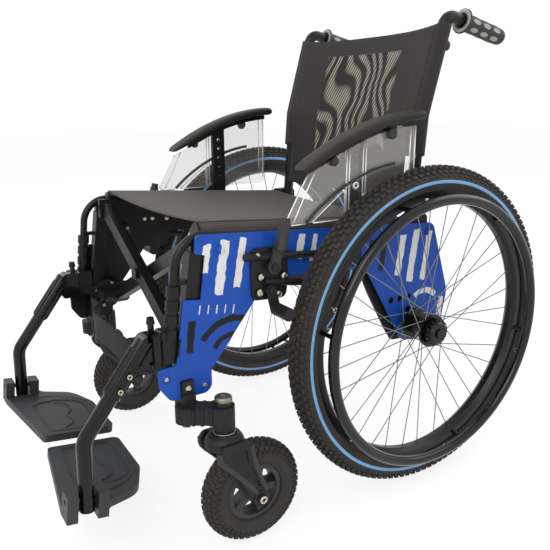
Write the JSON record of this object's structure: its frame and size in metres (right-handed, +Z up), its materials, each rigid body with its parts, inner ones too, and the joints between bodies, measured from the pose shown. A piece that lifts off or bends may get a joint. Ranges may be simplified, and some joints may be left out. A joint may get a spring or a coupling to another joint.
{
  "type": "all terrain wheelchair",
  "caption": "Folding manual wheelchair with knobbly tyres, handrims, swivelling casters, swing-away leg rests and blue side panels.",
  "frame": {"origin": "middle of the chair on the floor, centred over its width and its length", "axes": "+Z up, -Y is the front, +X is the chair's left side"},
  "size_m": [0.689, 0.9822, 0.8777],
  "materials": {
    "panel_blue": "satin paint",
    "frame_black": "satin powder coat",
    "cast_black": "matt coat",
    "grip_rubber": "matt",
    "bright_steel": "zinc plated",
    "hub_black": "black anodised",
    "rim_black": "black anodised",
    "tyre": "matt rubber",
    "handrim_black": "gloss black coat",
    "wheel_plastic": "moulded",
    "foot_plastic": "grained",
    "pad_foam": "self-skinned foam",
    "guard_clear": "clear",
    "fittings": "plain",
    "seat_fabric": "woven nylon",
    "back_fabric": "mesh and nylon",
    "strap_fabric": "webbing"
  },
  "bodies": {
    "left_frame": {"left_side_panel": "panel_blue", "left_side_frame": "frame_black", "left_back_post": "frame_black", "left_push_grip": "grip_rubber", "left_brace_bracket": "frame_black", "left_axle": "bright_steel", "left_caster_arm": "cast_black", "left_brake_base": "cast_black", "left_panel_fittings": "fittings", "back_sling": "back_fabric", "calf_strap": "strap_fabric"},
    "left_rear_wheel": {"left_rear_hub": "hub_black", "left_rear_spokes": "bright_steel", "left_rear_rim": "rim_black", "left_rear_tyre": "tyre", "left_handrim": "handrim_black"},
    "left_caster_fork": {"left_caster_fork": "cast_black", "left_caster_axle": "bright_steel"},
    "left_caster_wheel": {"left_caster_hub": "wheel_plastic", "left_caster_tyre": "tyre"},
    "left_hanger": {"left_hanger": "cast_black", "left_leg_tube": "frame_black"},
    "left_footplate": {"left_footplate": "foot_plastic"},
    "left_armrest": {"left_arm_pad": "pad_foam", "left_arm_post": "frame_black", "left_side_guard": "guard_clear"},
    "left_brake_lever": {"left_brake_lever": "cast_black"},
    "left_brake_shoe": {"left_brake_shoe": "cast_black"},
    "right_frame": {"right_side_panel": "panel_blue", "right_side_frame": "frame_black", "right_back_post": "frame_black", "right_push_grip": "grip_rubber", "right_brace_bracket": "frame_black", "right_axle": "bright_steel", "right_caster_arm": "cast_black", "right_brake_base": "cast_black", "right_panel_fittings": "fittings"},
    "right_rear_wheel": {"right_rear_hub": "hub_black", "right_rear_spokes": "bright_steel", "right_rear_rim": "rim_black", "right_rear_tyre": "tyre", "right_handrim": "handrim_black"},
    "right_caster_fork": {"right_caster_fork": "cast_black", "right_caster_axle": "bright_steel"},
    "right_caster_wheel": {"right_caster_hub": "wheel_plastic", "right_caster_tyre": "tyre"},
    "right_hanger": {"right_hanger": "cast_black", "right_leg_tube": "frame_black"},
    "right_footplate": {"right_footplate": "foot_plastic"},
    "right_armrest": {"right_arm_pad": "pad_foam", "right_arm_post": "frame_black", "right_side_guard": "guard_clear"},
    "right_brake_lever": {"right_brake_lever": "cast_black"},
    "right_brake_shoe": {"right_brake_shoe": "cast_black"},
    "brace_a": {"brace_a": "frame_black", "right_seat_rail": "frame_black"},
    "brace_b": {"brace_b": "frame_black", "left_seat_rail": "frame_black"},
    "seat": {"seat_sling": "seat_fabric"}
  },
  "joints": [
    {"name": "fold", "type": "hinge", "parent": "left_frame", "child": "brace_a", "pos_m": [0.19, -0.25376, 0.32326], "axis": [0, 0.9972, -0.075], "range_deg": [0, 40], "deforming": ["seat_sling", "back_sling", "calf_strap"]},
    {"name": "brace_cross", "type": "hinge", "parent": "brace_a", "child": "brace_b", "pos_m": [0, -0.24693, 0.414], "axis": [0, 0.9972, -0.075], "range_deg": [-80, 0]},
    {"name": "right_frame_carry", "type": "hinge", "parent": "brace_b", "child": "right_frame", "pos_m": [-0.19, -0.25376, 0.32326], "axis": [0, 0.9972, -0.075], "range_deg": [0, 40]},
    {"name": "seat_level", "type": "hinge", "parent": "brace_b", "child": "seat", "pos_m": [0.211, -0.03393, 0.51106], "axis": [0, 0.9972, -0.075], "range_deg": [0, 40]},
    {"name": "left_wheel_spin", "type": "hinge", "parent": "left_frame", "child": "left_rear_wheel", "pos_m": [0.29, 0.18607, 0.305], "axis": [1, 0, 0], "continuous": true},
    {"name": "left_caster_swivel", "type": "hinge", "parent": "left_frame", "child": "left_caster_fork", "pos_m": [0.284, -0.24193, 0.24], "axis": [0, 0, 1], "continuous": true},
    {"name": "left_caster_spin", "type": "hinge", "parent": "left_caster_fork", "child": "left_caster_wheel", "pos_m": [0.284, -0.19493, 0.091], "axis": [1, 0, 0], "continuous": true},
    {"name": "left_hanger_swing", "type": "hinge", "parent": "left_frame", "child": "left_hanger", "pos_m": [0.236, -0.32893, 0.352], "axis": [0, 0, -1], "range_deg": [-90, 0]},
    {"name": "left_footplate_flip", "type": "hinge", "parent": "left_hanger", "child": "left_footplate", "pos_m": [0.226, -0.45493, 0.133], "axis": [0, 0.9925, -0.1219], "range_deg": [0, 85]},
    {"name": "left_armrest_lift", "type": "slide", "parent": "left_frame", "child": "left_armrest", "axis": [0, 0, 1], "range_m": [0, 0.06]},
    {"name": "left_brake_throw", "type": "hinge", "parent": "left_frame", "child": "left_brake_lever", "pos_m": [0.26, -0.12993, 0.462], "axis": [1, 0, 0], "range_deg": [0, 60]},
    {"name": "left_brake_press", "type": "hinge", "parent": "left_frame", "child": "left_brake_shoe", "pos_m": [0.26, -0.13593, 0.424], "axis": [1, 0, 0], "range_deg": [0, 20]},
    {"name": "right_wheel_spin", "type": "hinge", "parent": "right_frame", "child": "right_rear_wheel", "pos_m": [-0.29, 0.18607, 0.305], "axis": [1, 0, 0], "continuous": true},
    {"name": "right_caster_swivel", "type": "hinge", "parent": "right_frame", "child": "right_caster_fork", "pos_m": [-0.284, -0.24193, 0.24], "axis": [0, 0, 1], "continuous": true},
    {"name": "right_caster_spin", "type": "hinge", "parent": "right_caster_fork", "child": "right_caster_wheel", "pos_m": [-0.284, -0.19493, 0.091], "axis": [1, 0, 0], "continuous": true},
    {"name": "right_hanger_swing", "type": "hinge", "parent": "right_frame", "child": "right_hanger", "pos_m": [-0.236, -0.32893, 0.352], "axis": [0, 0, 1], "range_deg": [-90, 0]},
    {"name": "right_footplate_flip", "type": "hinge", "parent": "right_hanger", "child": "right_footplate", "pos_m": [-0.226, -0.45493, 0.15], "axis": [0, -0.9925, 0.1219], "range_deg": [0, 85]},
    {"name": "right_armrest_lift", "type": "slide", "parent": "right_frame", "child": "right_armrest", "axis": [0, 0, 1], "range_m": [0, 0.06]},
    {"name": "right_brake_throw", "type": "hinge", "parent": "right_frame", "child": "right_brake_lever", "pos_m": [-0.26, -0.12993, 0.462], "axis": [1, 0, 0], "range_deg": [0, 60]},
    {"name": "right_brake_press", "type": "hinge", "parent": "right_frame", "child": "right_brake_shoe", "pos_m": [-0.26, -0.13593, 0.424], "axis": [1, 0, 0], "range_deg": [0, 20]}
  ],
  "couplings": [
    {"joint": "brace_cross", "follows": "fold", "ratio": -2},
    {"joint": "right_frame_carry", "follows": "fold", "ratio": 1},
    {"joint": "seat_level", "follows": "fold", "ratio": 1},
    {"joint": "left_brake_press", "follows": "left_brake_throw", "ratio": 0.33333},
    {"joint": "right_brake_press", "follows": "right_brake_throw", "ratio": 0.33333}
  ]
}
